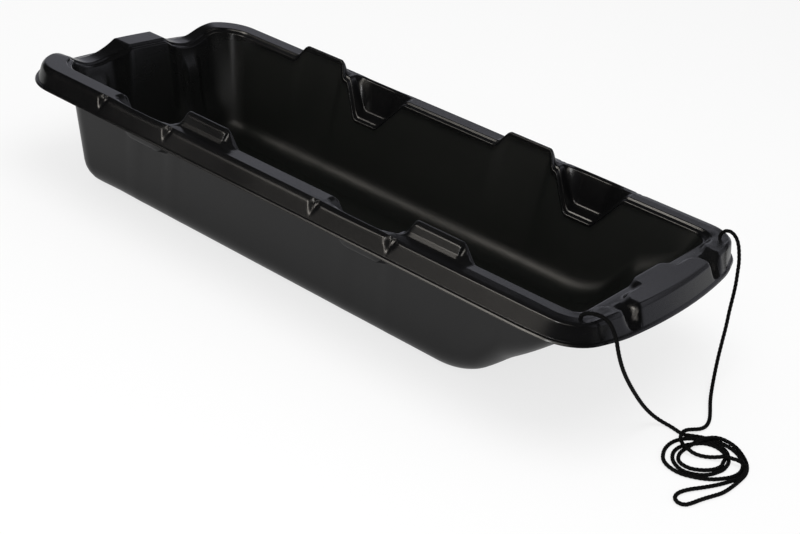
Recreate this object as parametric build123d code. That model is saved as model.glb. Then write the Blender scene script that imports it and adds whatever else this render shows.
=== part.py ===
from build123d import *
from math import cos, radians, sqrt, tan
import os

os.makedirs("parts", exist_ok=True)

# Driving dimensions in millimetres and degrees.
# +X points to the bow, where the rope is tied, +Y to the left side, +Z up.
# The origin lies on the ground under the middle of the sled.

# The rim: land on top, flared skirt and a small lip at its foot
sheet = 5.0                # thickness of the moulded sheet
rim_top = 260.0            # height of the rim's flat top over the ground
rim_half = 325.0           # half width over the skirt's top edge
bow_front = 740.0          # skirt's top edge at the bow, on the centre line
stern_back = -748.0        # skirt's top edge at the stern, on the centre line
bow_plan_radius = 1550.0   # plan radius of the bow edge
stern_plan_radius = 1900.0
rim_bow_corner = 98.0
rim_stern_corner = 92.0
side_land = 58.0           # width of the land along the sides
bow_land = 67.0            # depth of the bow deck on the centre line
stern_land = 68.0          # depth of the stern rail on the centre line
skirt_drop = 43.0          # height of the skirt
skirt_flare = 13.0         # how far the skirt leans out at its foot
skirt_edge = 8.0           # rounding of the skirt's top edge
lip_out = 6.0              # lip beyond the skirt's foot
lip_height = 5.0

# The tub inside the rim
mouth_half = rim_half - side_land
mouth_bow = bow_front - bow_land
mouth_stern = stern_back + stern_land
side_draft = 4.0           # lean of the side walls
stern_rake = 14.0          # lean of the stern wall
bow_draft = 10.0           # lean of the short wall over the bow ramp
bow_wall = 69.0            # height of that wall, from the ramp's top to the rim
ramp_angle = 43.0          # rise of the bow ramp
ramp_radius = 175.0        # bend between the floor and the ramp
stern_corner = 62.0        # upright corner radius at the stern
bow_corner = 85.0          # upright corner radius at the bow
chine_radius = 55.0        # rounding along the bottom of the walls

# Where the ramp's underside would meet the ground
ramp_slope = tan(radians(ramp_angle))
ramp_end = mouth_bow + sheet / cos(radians(bow_draft)) - bow_wall * tan(radians(bow_draft))
ramp_foot = ramp_end - (rim_top - bow_wall) / ramp_slope

# Where the moulding is divided, along its bends
side_bend = 77.0           # width of the side wall panels with their bend, seen from above
stern_bend = 180.0         # length of the stern panels, from the mouth's edge
bow_bend = 173.0           # length of the bow corner panels, from the mouth's edge
stern_reach = 60.0         # the stern rail's reach along the sides
bow_reach = 83.0           # the bow deck's reach along the sides
rim_corner = 93.0          # width of the rim's corner pieces
seam_out = 8.0             # from the mouth's edge out to a hand pocket's seam
floor_half = mouth_half - side_bend
floor_stern = mouth_stern + stern_bend
floor_bow = ramp_foot - ramp_radius * tan(radians(ramp_angle / 2))
wall_bow = mouth_bow - bow_bend
rail_stern = mouth_stern + stern_reach
rail_bow = mouth_bow - bow_reach
rail_half = rim_half - rim_corner
pocket_seam = mouth_half + seam_out

# Raised tabs on the right side, stern to bow; the left side is the same turned half round
tab_rise = 31.0
tab_depth = 23.0           # thickness at the land
tab_ridge = 8.0            # thickness along the top
tab_lean = 8.0             # how far the inner face leans out up to the top
left_tab_shift = -4.0      # the left tabs stand this much nearer the stern
# name: base start, top start, top end, base end
tab_rows = {
    "a": (-290.0, -276.0, -170.0, -126.0),
    "b": (302.0, 316.0, 421.0, 462.0),
}

# Hand pockets pushed out of the right wall; the left side is the same turned half round
pocket_drop = 81.0         # from the rim's top down to a pocket's inner floor
pocket_behind = 24.0       # from the skirt's top edge in to the back wall at the pocket's floor
pocket_lean = 9.0          # how far the back wall leans out up to the rim
pocket_floor = rim_top - pocket_drop
pocket_back = rim_half - pocket_behind
# name: top start, floor start, floor end, top end
pocket_rows = {
    "a": (-466.0, -410.0, -341.0, -298.0),
    "b": (125.0, 187.0, 252.0, 292.0),
}

# Tie-down scoops in the skirt's top edge, right side
scoop_x = [-479.0, -287.0, 112.0, 300.0]
scoop_top_radius = 22.0
scoop_foot_radius = 9.0
scoop_offset = 12.0        # scoop's axis outside the skirt's top edge
scoop_depth = 27.0

# Two dips in the stern rim, each between the centre block and a corner block
centre_block = 56.0        # half width of the centre block
corner_block = 101.0       # from a dip to the skirt's top edge at the side
dip_flank = 55.5           # width of a dip's sloping side
dip_depth = 31.0
dip_outer = rim_half - corner_block

# Upright channels in the stern wall under the dips
channel_inner = 66.0
channel_side = 87.0        # from the side wall to a channel
channel_depth = 16.0
channel_foot = 70.0        # height where a channel runs out
channel_full = 110.0       # height where it reaches its depth
channel_outer = mouth_half - channel_side

# Hand grips in the bow deck: a groove through the front edge with a dished side
grip_inset = 150.0         # from the skirt's top edge at the side to a groove's middle
grip_half = 19.0
grip_depth = 30.0
grip_length = 36.0         # from the front edge to the groove's end
dish_back = 35.0           # from the front edge to a dish's middle
dish_aside = 25.0          # from a groove's middle to its dish
dish_radius = 27.0
dish_depth = 9.0
grip_y = rim_half - grip_inset
grip_start = bow_front - grip_length
dish_x = bow_front - dish_back
dish_y = grip_y - dish_aside

# Rope holes in the bow corners
hole_back = 54.0           # from the front edge
hole_inset = 45.0          # from the skirt's top edge at the side
hole_radius = 6.5
hole_x = bow_front - hole_back
hole_y = rim_half - hole_inset

# Tow rope: two legs, a loose coil on the ground and a long loop lying out of it
rope_diameter = 7.0
knot_radius = 12.0
seat_gap = 0.3             # between a knot and the land over it
bend_share = 0.45          # share of the shorter run that a bend of the rope takes up
coil_x = 918.0
coil_y = -95.0
coil_length = 180.0        # across the turns, along Y
coil_width = 138.0         # across the turns, along X
coil_ring = 42.0           # width of the ring of turns
coil_height = 15.0

# Route of the right leg, from its knot to the coil: x, y, z
leg_right_route = [
    (hole_x, -hole_y, 254), (hole_x, -hole_y, 261), (688, -279, 267), (692, -276, 272), (697, -273, 275),
    (704, -269, 276), (713, -265, 274), (722, -262, 269), (730, -260, 260), (737, -257, 248),
    (743, -254, 232), (749, -248, 213), (755, -237, 190), (760, -218, 162), (764, -190, 130),
    (768, -156, 96), (773, -118, 60), (780, -88, 34), (789, -67, 17), (801, -54, 7),
    (818, -50, 4), (836, -54, 4), (851, -58, 4), (864, -52, 4),
]
# Route of the left leg, from its knot to the coil: x, y, z
leg_left_route = [
    (hole_x, hole_y, 254), (hole_x, hole_y, 261), (688, 281, 267), (692, 282, 272), (698, 283, 275),
    (705, 284, 275), (714, 283, 272), (723, 281, 265), (731, 278, 254), (737, 275, 241),
    (743, 272, 225), (748, 267, 205), (754, 260, 183), (759, 251, 158), (764, 240, 133),
    (769, 226, 107), (775, 209, 81), (782, 189, 55), (791, 166, 32), (801, 143, 15),
    (814, 118, 6), (829, 93, 4), (845, 65, 4), (858, 36, 4), (864, 10, 4), (866, -12, 4), (873, -30, 4),
]
# Route of the loop that lies out of the coil: x, y, z
loop_route = [
    (974, -98, 5), (977, -125, 4), (968, -155, 4), (953, -185, 4), (939, -210, 4), (932, -228, 4), (930, -241, 4),
    (931, -250, 4), (934, -257, 4), (939, -262, 4), (946, -264, 4), (952, -262, 4), (957, -257, 4), (960, -249, 4),
    (963, -240, 4), (966, -228, 4), (971, -212, 4), (978, -193, 4), (988, -170, 4), (993, -140, 4), (979, -112, 5),
]

big = 2000.0               # larger than the sled


def band(low_x, high_x, low_y, high_y, low_z=-big, high_z=big):
    """Box between the given limits, used to divide the moulding."""
    size = (high_x - low_x, high_y - low_y, high_z - low_z)
    middle = ((high_x + low_x) / 2, (high_y + low_y) / 2, (high_z + low_z) / 2)
    return Pos(*middle) * Box(*size)


def below(level):
    """Everything under a level."""
    return band(-big, big, -big, big, -big, level)


def upright_xz(points, reach):
    """Outline in XZ, extruded to both sides along Y."""
    return extrude(make_face(Plane.XZ * Polyline(*points, close=True)), reach, both=True)


def upright_yz(points, reach):
    """Outline in YZ, extruded to both sides along X."""
    return extrude(make_face(Plane.YZ * Polyline(*points, close=True)), reach, both=True)


def half_turn(solid):
    """The same shape turned half round, for the left side."""
    return Rot(0, 0, 180) * solid


def tub_block(inset, top):
    """Block inside the tub's outer faces, drawn in by inset, up to the height top."""
    grow = sheet - inset
    side = grow / cos(radians(side_draft))
    stern = grow / cos(radians(stern_rake))
    bow = grow / cos(radians(bow_draft))

    def half_at(z):
        return mouth_half - (rim_top - z) * tan(radians(side_draft)) + side

    def stern_at(z):
        return mouth_stern + (rim_top - z) * tan(radians(stern_rake)) - stern

    def bow_at(z):
        return mouth_bow - (rim_top - z) * tan(radians(bow_draft)) + bow

    lift = inset / cos(radians(ramp_angle))
    foot_x = ramp_foot + (inset - lift) / ramp_slope
    lean = tan(radians(bow_draft))
    end_z = ((bow_at(0) - ramp_foot) * ramp_slope + lift) / (1 - lean * ramp_slope)
    outline = Polyline(
        (stern_at(inset), inset),
        (foot_x, inset),
        (bow_at(end_z), end_z),
        (bow_at(top), top),
        (stern_at(top), top),
        close=True,
    )
    profile = make_face(outline)
    foot = profile.vertices().sort_by(lambda v: abs(v.X - foot_x) + abs(v.Y - inset))[0]
    profile = fillet(foot, ramp_radius - inset)
    along = extrude(Plane.XZ * profile, big, both=True)
    across = upright_yz(
        [(-half_at(inset), inset), (half_at(inset), inset), (half_at(top), top), (-half_at(top), top)], big
    )
    block = along & across
    stern_edges = [e for e in upright_edges(block) if e.center().X < 0]
    block = fillet(stern_edges, stern_corner - inset)
    bow_edges = [e for e in upright_edges(block) if e.center().Z > end_z]
    block = fillet(bow_edges, bow_corner - inset)
    return fillet(lower_loop(block), chine_radius - inset)


def upright_edges(block):
    """Steep edges at the four corners of a block."""
    steep = [e for e in block.edges() if abs(e.tangent_at(0.5).Z) > 0.7]
    return [e for e in steep if abs(e.center().Y) > mouth_half / 2]


def lower_loop(block):
    """Edges around the faces that look down."""
    found = {}
    for face in [f for f in block.faces() if f.normal_at().Z < -0.5]:
        for edge in face.edges():
            found.setdefault(tuple(round(c, 3) for c in edge.center()), []).append(edge)
    return [edges[0] for edges in found.values() if len(edges) == 1]


def rim_face(grow):
    """Plan of the skirt's top edge, grown outward, with arcs at bow and stern."""
    bow_side = bow_front - bow_plan_radius + sqrt(bow_plan_radius**2 - rim_half**2)
    stern_side = stern_back + stern_plan_radius - sqrt(stern_plan_radius**2 - rim_half**2)
    face = make_face([
        Line((stern_side, -rim_half), (bow_side, -rim_half)),
        ThreePointArc((bow_side, -rim_half), (bow_front, 0), (bow_side, rim_half)),
        Line((bow_side, rim_half), (stern_side, rim_half)),
        ThreePointArc((stern_side, rim_half), (stern_back, 0), (stern_side, -rim_half)),
    ])
    face = fillet([v for v in face.vertices() if v.X > 0], rim_bow_corner)
    face = fillet([v for v in face.vertices() if v.X < -rim_half], rim_stern_corner)
    return offset(face, grow) if grow else face


def flare_at(z):
    """How far the skirt stands out of its top edge at a height."""
    return skirt_flare * (rim_top - z) / skirt_drop


def rim_block(inset, bottom):
    """Block inside the rim's outer faces, drawn in by inset, open downward to the height bottom."""
    top = rim_top - inset
    plan = [Pos(0, 0, z) * rim_face(flare_at(z) - inset) for z in (bottom, top)]
    block = loft(plan, ruled=True)
    return fillet(block.faces().sort_by(Axis.Z)[-1].edges(), skirt_edge - inset)


def dip_cut(side, grow):
    """What a stern dip takes away, on one side, grown by a sheet's thickness for the underside."""
    low = rim_top - dip_depth
    low_inner = centre_block + dip_flank
    low_outer = dip_outer - dip_flank
    radius = (dip_flank**2 + dip_depth**2) / (2 * dip_depth)
    lines = [
        RadiusArc((centre_block, rim_top), (low_inner, low), -radius),
        Line((low_inner, low), (low_outer, low)),
        RadiusArc((low_outer, low), (dip_outer, rim_top), -radius),
        Polyline(
            (dip_outer, rim_top), (dip_outer, 2 * rim_top), (centre_block, 2 * rim_top), (centre_block, rim_top)
        ),
    ]
    face = make_face(lines)
    if grow:
        face = offset(face, grow)
    solid = extrude(Plane.YZ * face, big)
    solid = Pos(mouth_stern + stern_corner - big, 0, 0) * solid
    return solid if side > 0 else mirror(solid, Plane.XZ)


def scoop_cut(x, grow):
    """A tie-down scoop on the right side."""
    height = scoop_depth + grow
    cone = Cone(scoop_foot_radius + grow, scoop_top_radius + grow, height)
    return Pos(x, -rim_half - scoop_offset, rim_top - height / 2) * cone


def grip_cut(side, grow):
    """A hand grip at the bow: the groove and its dished side."""
    half = grip_half + grow
    low = rim_top - grip_depth - grow
    groove = Pos(grip_start - grow + big / 2, 0, low + half) * Rot(0, 90, 0) * Cylinder(half, big)
    groove += band(grip_start - grow, grip_start + big, -half, half, low + half, 2 * rim_top)
    groove = Pos(0, side * grip_y, 0) * groove
    dish = Pos(dish_x, side * dish_y, rim_top - dish_depth - grow) * Cylinder(
        dish_radius + grow, rim_top, align=(Align.CENTER, Align.CENTER, Align.MIN)
    )
    return groove + dish


def pocket_block(row, grow, top):
    """The space of a hand pocket on the right side, grown by a sheet's thickness for its outside."""
    top_start, floor_start, floor_end, top_end = row
    floor = pocket_floor - grow
    start_lean = (floor_start - top_start) / pocket_drop
    end_lean = (top_end - floor_end) / pocket_drop
    start_grow = grow * sqrt(1 + start_lean**2)
    end_grow = grow * sqrt(1 + end_lean**2)

    def start_at(z):
        return floor_start - start_lean * (z - pocket_floor) - start_grow

    def end_at(z):
        return floor_end + end_lean * (z - pocket_floor) + end_grow

    ends = upright_xz(
        [(start_at(floor), floor), (end_at(floor), floor), (end_at(top), top), (start_at(top), top)], big
    )
    back_lean = pocket_lean / pocket_drop

    def back_at(z):
        return pocket_back + back_lean * (z - pocket_floor) + grow * sqrt(1 + back_lean**2)

    front = floor_half + chine_radius / 2
    depth = upright_yz([(-front, floor), (-back_at(floor), floor), (-back_at(top), top), (-front, top)], big)
    return ends & depth


def pocket_zone(row):
    """Where a hand pocket stands out of the right wall."""
    return band(row[0] - 2 * sheet, row[-1] + 2 * sheet, -big, -pocket_seam)


def channel_block(side, grow, top):
    """The space of an upright channel in the stern wall."""

    def stern_at(z):
        return mouth_stern + (rim_top - z) * tan(radians(stern_rake))

    thick = grow / cos(radians(stern_rake))
    depth = channel_depth + thick
    foot = channel_foot - grow
    full = channel_full - grow
    points = [
        (stern_at(foot), foot), (stern_at(full) - depth, full), (stern_at(top) - depth, top),
        (stern_at(top) + channel_depth, top), (stern_at(foot) + channel_depth, foot),
    ]
    low, high = sorted([side * (channel_inner - grow), side * (channel_outer + grow)])
    return upright_xz(points, big) & band(-big, big, low, high)


def tab_block(row):
    """A raised tab on the right side, over the wall and the inner part of the land."""
    base_start, top_start, top_end, base_end = row
    top = rim_top + tab_rise
    shape = upright_xz([(base_start, rim_top), (base_end, rim_top), (top_end, top), (top_start, top)], big)
    inner_top = mouth_half + tab_lean
    depth = upright_yz([
        (-mouth_half, rim_top), (-mouth_half - tab_depth, rim_top), (-inner_top - tab_ridge, top), (-inner_top, top)
    ], big)
    return shape & depth


def tube(route, ends):
    """A rope's stretch along straight runs joined by tangent arcs, cut off at its end pieces."""
    points = [Vector(*p) for p in route]
    radii = []
    for before, here, after in zip(points, points[1:], points[2:]):
        turn = (here - before).get_angle(after - here)
        run = min((here - before).length, (after - here).length)
        radii.append(bend_share * run / tan(radians(turn / 2)))
    path = FilletPolyline(*points, radius=radii)
    print("bend radii", [round(r) for r in radii])
    section = Plane(points[0], z_dir=points[1] - points[0]) * Circle(rope_diameter / 2)
    solid = sweep(section, path)
    print("tube volume over section times length", solid.volume / (section.area * path.length))
    for end in ends:
        solid -= end
    return solid


# The tub: outer faces less inner faces, with the pockets and channels in both
tub_solid = tub_block(0, rim_top)
tub_space = tub_block(sheet, rim_top + tab_rise)
for row in pocket_rows.values():
    pocket_outside = pocket_block(row, sheet, rim_top)
    pocket_inside = pocket_block(row, 0, rim_top + sheet)
    tub_solid = tub_solid + pocket_outside + half_turn(pocket_outside)
    tub_space = tub_space + pocket_inside + half_turn(pocket_inside)
for side in (-1, 1):
    tub_solid = tub_solid + channel_block(side, sheet, rim_top)
    tub_space = tub_space + channel_block(side, 0, rim_top + sheet)
tub_shell = tub_solid - tub_space
for side in (-1, 1):
    tub_shell = tub_shell - dip_cut(side, 0)

# The rim: outer faces less the space under it, with dips, scoops and grips in both
skirt_foot = rim_top - skirt_drop
rim_solid = rim_block(0, skirt_foot)
rim_space = rim_block(sheet, skirt_foot - lip_height)
for side in (-1, 1):
    rim_solid = rim_solid - dip_cut(side, 0) - grip_cut(side, 0)
    rim_space = rim_space - dip_cut(side, sheet) - grip_cut(side, sheet)
for x in scoop_x:
    rim_solid = rim_solid - scoop_cut(x, 0) - half_turn(scoop_cut(x, 0))
    rim_space = rim_space - scoop_cut(x, sheet) - half_turn(scoop_cut(x, sheet))
lip = extrude(Pos(0, 0, skirt_foot) * rim_face(skirt_flare + lip_out), lip_height)
rim_shell = (rim_solid + lip) - rim_space - tub_solid
for side in (-1, 1):
    rim_shell = rim_shell - Pos(hole_x, side * hole_y, rim_top) * Cylinder(hole_radius, skirt_drop)

nodes = {}

# Panels of the tub
nodes["floor_pan"] = tub_shell & band(floor_stern, floor_bow, -floor_half, floor_half)
nodes["bow_ramp"] = tub_shell & band(floor_bow, big, -floor_half, floor_half)
nodes["stern_wall"] = tub_shell & band(-big, floor_stern, -floor_half, floor_half)
for name, low, high in (("right", -pocket_seam, -floor_half), ("left", floor_half, pocket_seam)):
    side_panel = tub_shell & band(floor_stern, wall_bow, low, high)
    nodes["chine_" + name] = side_panel & below(chine_radius)
    nodes["side_wall_" + name] = side_panel - below(chine_radius)
    nodes["bow_corner_" + name] = tub_shell & band(wall_bow, big, low, high)
    nodes["stern_corner_" + name] = tub_shell & band(-big, floor_stern, low, high)

# Hand pockets in the side walls
for name, row in pocket_rows.items():
    nodes["pocket_right_" + name] = tub_shell & pocket_zone(row)
    nodes["pocket_left_" + name] = tub_shell & half_turn(pocket_zone(row))

# Stretches of the rim
nodes["bow_deck"] = rim_shell & band(rail_bow, big, -rail_half, rail_half)
nodes["stern_rail"] = rim_shell & band(-big, rail_stern, -rail_half, rail_half)
for name, low, high in (("right", -big, 0), ("left", 0, big)):
    side_rim = rim_shell & band(rail_stern, rail_bow, low, high)
    nodes["side_skirt_" + name] = side_rim & below(rim_top - sheet)
    nodes["side_land_" + name] = side_rim - below(rim_top - sheet)
for name, low, high in (("right", -big, -rail_half), ("left", rail_half, big)):
    nodes["bow_rim_corner_" + name] = rim_shell & band(rail_bow, big, low, high)
    nodes["stern_rim_corner_" + name] = rim_shell & band(-big, rail_stern, low, high)

# Raised tabs on the rim
for name, row in tab_rows.items():
    tab = tab_block(row)
    nodes["tab_right_" + name] = tab
    nodes["tab_left_" + name] = Pos(left_tab_shift, 0, 0) * half_turn(tab)

# Rope, knots under the bow corners, coil and loop
coil = extrude(Ellipse(coil_width / 2, coil_length / 2), coil_height)
coil -= extrude(Ellipse(coil_width / 2 - coil_ring, coil_length / 2 - coil_ring), coil_height)
coil = Pos(coil_x, coil_y, 0) * coil
knots = {}
for name, side in (("right", -1), ("left", 1)):
    drop = sqrt(knot_radius**2 - hole_radius**2) + seat_gap
    knots[name] = Pos(hole_x, side * hole_y, rim_top - sheet - drop) * Sphere(knot_radius)
    nodes["knot_" + name] = knots[name]
nodes["rope_coil"] = coil
nodes["rope_leg_right"] = tube(leg_right_route, [knots["right"], coil])
nodes["rope_leg_left"] = tube(leg_left_route, [knots["left"], coil])
nodes["rope_loop"] = tube(loop_route, [coil])

for name, solid in nodes.items():
    export_step(solid, "parts/" + name + ".step")
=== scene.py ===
import math

import bmesh
import bpy
import numpy as np
from mathutils import Matrix, Vector


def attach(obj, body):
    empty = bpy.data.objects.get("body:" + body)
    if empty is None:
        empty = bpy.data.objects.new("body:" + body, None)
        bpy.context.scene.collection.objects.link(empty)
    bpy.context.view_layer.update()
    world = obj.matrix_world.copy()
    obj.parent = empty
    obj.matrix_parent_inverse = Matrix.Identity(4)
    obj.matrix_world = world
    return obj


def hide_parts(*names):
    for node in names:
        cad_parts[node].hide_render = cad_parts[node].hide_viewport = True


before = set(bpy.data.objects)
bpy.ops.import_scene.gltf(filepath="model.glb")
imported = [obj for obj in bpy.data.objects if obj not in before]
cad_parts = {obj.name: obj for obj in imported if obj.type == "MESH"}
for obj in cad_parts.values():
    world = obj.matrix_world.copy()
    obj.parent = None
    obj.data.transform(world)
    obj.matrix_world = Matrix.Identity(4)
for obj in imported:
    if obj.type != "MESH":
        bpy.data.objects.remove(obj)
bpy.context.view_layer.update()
print("frame loaded:", len(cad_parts), "nodes")

# shapes are worked out in millimetres and written in metres
mm = 0.001


# camera, at the place the photograph was taken from
viewPoint = {
    "place": (1.598, -2.299, 1.380),
    "forward": (-0.4838, 0.7533, -0.4456),
    "right": (0.7818, 0.6007, 0.1668),
    "lens": 63.95,
    "sensor": 36.0,
    "farthest": 50,
}


def makeCamera(look):
    forward = Vector(look["forward"]).normalized()
    right = Vector(look["right"])
    right = (right - forward * right.dot(forward)).normalized()
    up = right.cross(forward)
    turn = Matrix((right, up, -forward)).transposed().to_4x4()
    data = bpy.data.cameras.new("camera")
    data.lens = look["lens"]
    data.sensor_width = look["sensor"]
    data.clip_end = look["farthest"]
    camera = bpy.data.objects.new("camera", data)
    camera.matrix_world = Matrix.Translation(look["place"]) @ turn
    bpy.context.collection.objects.link(camera)
    bpy.context.scene.camera = camera


makeCamera(viewPoint)
print("camera set")


# small helpers
def ramp(low, high, value):
    t = np.clip((value - low) / (high - low), 0.0, 1.0)
    return t * t * (3 - 2 * t)


def bump(centre, half, edge, value):
    return 1 - ramp(half - edge / 2, half + edge / 2, np.abs(value - centre))


def meshPiece(name, points, faces, material):
    mesh = bpy.data.meshes.new(name)
    mesh.from_pydata((np.asarray(points) * mm).tolist(), [], faces)
    mesh.materials.append(material)
    mesh.polygons.foreach_set("use_smooth", [True] * len(mesh.polygons))
    piece = bpy.data.objects.new(name, mesh)
    bpy.context.collection.objects.link(piece)
    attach(piece, "root")
    return piece


class Nodes:
    def __init__(self, owner):
        owner.use_nodes = True
        self.owner = owner
        self.tree = owner.node_tree
        self.shader = self.tree.nodes.get("Principled BSDF")

    def add(self, kind, **values):
        node = self.tree.nodes.new(kind)
        for key, value in values.items():
            setattr(node, key, value)
        return node

    def link(self, start, end):
        self.tree.links.new(start, end)

    def noise(self, coords, scale, detail, rough):
        node = self.add("ShaderNodeTexNoise")
        node.inputs["Scale"].default_value = scale
        node.inputs["Detail"].default_value = detail
        node.inputs["Roughness"].default_value = rough
        self.link(coords, node.inputs["Vector"])
        return node.outputs["Fac"]

    def spread(self, value, fromLow, fromHigh, toLow, toHigh):
        node = self.add("ShaderNodeMapRange")
        for socket, number in zip(node.inputs[1:5], (fromLow, fromHigh, toLow, toHigh)):
            socket.default_value = number
        self.link(value, node.inputs["Value"])
        return node.outputs["Result"]

    def stretch(self, coords, scale):
        node = self.add("ShaderNodeMapping")
        node.inputs["Scale"].default_value = scale
        self.link(coords, node.inputs["Vector"])
        return node.outputs["Vector"]

    def pick(self, amount, low, high):
        node = self.add("ShaderNodeMix", data_type="RGBA")
        self.link(amount, node.inputs["Factor"])
        for socket, colour in ((node.inputs["A"], low), (node.inputs["B"], high)):
            if isinstance(colour, tuple):
                socket.default_value = (*colour, 1)
            else:
                self.link(colour, socket)
        return node.outputs["Result"]

    def combine(self, first, second, operation="ADD"):
        node = self.add("ShaderNodeMath", operation=operation)
        self.link(first, node.inputs[0])
        if isinstance(second, (int, float)):
            node.inputs[1].default_value = second
        else:
            self.link(second, node.inputs[1])
        return node.outputs["Value"]

    def relief(self, height, strength, distance):
        node = self.add("ShaderNodeBump")
        node.inputs["Strength"].default_value = strength
        node.inputs["Distance"].default_value = distance
        self.link(height, node.inputs["Height"])
        self.link(node.outputs["Normal"], self.shader.inputs["Normal"])


# black moulded plastic sheet: fine grain, faint flow marks, and an inside rubbed duller by loads, whose
# paler colour is painted light that lifts the shaded tub;
# a noise is given by its scale, detail and roughness
plasticLook = {
    # inside: a paler colour that is painted light, lifting the shade inside the tub
    "dark": (0.0028, 0.0028, 0.0030), "pale": (0.0062, 0.0062, 0.0064), "inside": (0.0044, 0.0050, 0.0044),
    "rough": (0.17, 0.24), "rubbedRough": 0.10, "insideRough": 0.21, "ior": 1.52,
    "cloud": (5, 4, 0.6), "cloudEdges": (0.3, 0.7), "cloudTone": 0.6,
    "rubs": (1, 5, 0.7), "rubStretch": (6, 160, 160), "rubEdges": (0.62, 0.78), "rubbedTone": 0.4,
    "grain": (1400, 3, 0.5), "grainStrength": 0.12, "grainDepth": 0.0004,
}


def makePlastic(look):
    made = Nodes(bpy.data.materials.new("moulded_sheet_black"))
    coords = made.add("ShaderNodeTexCoord").outputs["Object"]
    grain = made.noise(coords, *look["grain"])
    cloud = made.noise(coords, *look["cloud"])
    rubs = made.noise(made.stretch(coords, look["rubStretch"]), *look["rubs"])
    rubbed = made.spread(rubs, *look["rubEdges"], 0, 1)
    tone = made.combine(made.spread(cloud, *look["cloudEdges"], 0, look["cloudTone"]),
                        made.combine(rubbed, look["rubbedTone"], "MULTIPLY"))
    inside = made.add("ShaderNodeAttribute", attribute_name="inside").outputs["Fac"]
    skin = made.pick(tone, look["dark"], look["pale"])
    # the inside takes its own paler colour: painted light that lifts the shade in the tub
    made.link(made.pick(inside, skin, look["inside"]), made.shader.inputs["Base Color"])
    shine = made.spread(cloud, *look["cloudEdges"], *look["rough"])
    worn = made.combine(made.combine(rubbed, look["rubbedRough"], "MULTIPLY"),
                        made.combine(inside, look["insideRough"], "MULTIPLY"))
    made.link(made.combine(shine, worn), made.shader.inputs["Roughness"])
    made.shader.inputs["IOR"].default_value = look["ior"]
    made.relief(grain, look["grainStrength"], look["grainDepth"])
    return made.owner


plastic = makePlastic(plasticLook)

# rope: dull black fibre
ropeLook = {
    "dark": (0.0008, 0.0008, 0.0008), "pale": (0.0036, 0.0036, 0.0036), "rough": 0.85, "specular": 0.2,
    "fuzz": (1600, 4, 0.7), "fuzzEdges": (0.35, 0.7), "fuzzStrength": 0.35, "fuzzDepth": 0.0006,
}


def makeFibre(look):
    made = Nodes(bpy.data.materials.new("rope_black"))
    coords = made.add("ShaderNodeTexCoord").outputs["Object"]
    fuzz = made.noise(coords, *look["fuzz"])
    made.link(made.pick(made.spread(fuzz, *look["fuzzEdges"], 0, 1), look["dark"], look["pale"]),
              made.shader.inputs["Base Color"])
    made.shader.inputs["Roughness"].default_value = look["rough"]
    made.shader.inputs["Specular IOR Level"].default_value = look["specular"]
    made.relief(fuzz, look["fuzzStrength"], look["fuzzDepth"])
    return made.owner


fibre = makeFibre(ropeLook)
print("materials made")


# tow rope: one length from hole to hole, with its coil and long loop on the floor
ropeSize = {
    "diameter": 7.0, "fullness": 1.13, "strands": 3, "lay": 26.0, "strandDepth": 0.18,
    "ringStep": 1.4, "sides": 16, "stretchSteps": 12,
}

legRight = [
    (686, -280, 254), (686, -280, 260), (688, -279, 264.5), (692, -277, 268), (698, -273, 270),
    (706, -268, 270.5), (716, -263, 269), (726, -259, 265), (735, -256, 257), (742, -253, 246),
    (749, -249, 231), (754, -244, 212), (759, -234, 189.5), (763, -215.5, 162), (767, -188, 130),
    (770, -154, 96), (775, -117, 60), (781, -87.5, 34), (789, -67, 17), (801, -54, 7),
    (818, -50, 4), (836, -54, 4), (847, -56, 4),
]
longLoop = [
    (989, -140, 4), (986, -170, 4), (978, -193, 4), (971, -212, 4), (966, -228, 4), (963, -240, 4),
    (960, -249, 4), (957, -257, 4), (952, -262, 4), (946, -264, 4), (939, -262, 4), (934, -257, 4),
    (931, -250, 4), (930, -241, 4), (932, -228, 4), (939, -210, 4), (953, -185, 4), (968, -155, 4),
    (979, -125, 4),
]
# back over the ring, across its middle and out over the ring again
middleStrand = [
    (986, -106, 4), (987, -90, 5), (985, -75, 8.5), (977, -63, 11.2), (964, -59, 11.2), (950, -64, 11.2),
    (938, -70, 11.2), (926, -79, 6.5), (910, -91, 4), (893, -102, 6.5), (879, -104, 11.2),
    (865, -98, 11.2), (853, -83, 11.2), (846, -65, 11.2), (847, -47, 11.2), (853, -30, 8), (861, -10, 4.5),
]
legLeft = [
    (686, 280, 254), (686, 280, 261), (688, 281, 267), (692, 282, 272), (698, 283, 275),
    (705, 284, 275), (714, 283, 272), (723, 281, 265), (731, 278, 254), (737, 275, 241),
    (743, 272, 225), (748, 267, 205), (754, 260, 183), (759, 251, 158), (764, 240, 133),
    (771, 228, 107), (778, 211, 81), (786, 192, 55), (796, 170, 32), (807, 146, 15),
    (819, 119, 6), (831, 93, 4), (845, 65, 4), (858, 36, 4), (864, 10, 4),
]
# the loose turns wind inwards, then the last one climbs out over the others: angle, reach, height
coil = {
    "centre": (918, -95), "pointsPerTurn": 16,
    "turns": [
        (145, 78, 4), (112, 74, 4), (90, 77, 4), (64, 74, 4), (27, 66, 4), (-5, 60, 4), (-40, 58, 4),
        (-76, 70, 4), (-101, 88, 4), (-115, 98, 4), (-130, 91, 4), (-153, 80, 4), (-179, 73, 4),
        (-211, 69, 4), (-242, 65, 4), (-271, 65, 4), (-306, 45, 4), (-342, 35, 4), (-391, 37, 4),
        (-421, 50, 4), (-455, 73, 4), (-467, 80, 4), (-497, 69, 4), (-544, 53, 4), (-575, 50, 4),
        (-602, 57, 4), (-633, 55, 4), (-685, 29, 4), (-743, 27, 4), (-789, 36, 4), (-825, 60, 4),
        (-838, 65, 4), (-879, 49, 4), (-908, 43, 5), (-930, 46, 11.2), (-947, 53, 11.2), (-967, 70, 11.2),
        (-983, 85, 11.2), (-1000, 87, 6), (-1020, 80, 4), (-1057, 73, 4), (-1090, 73, 4),
    ],
}


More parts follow.
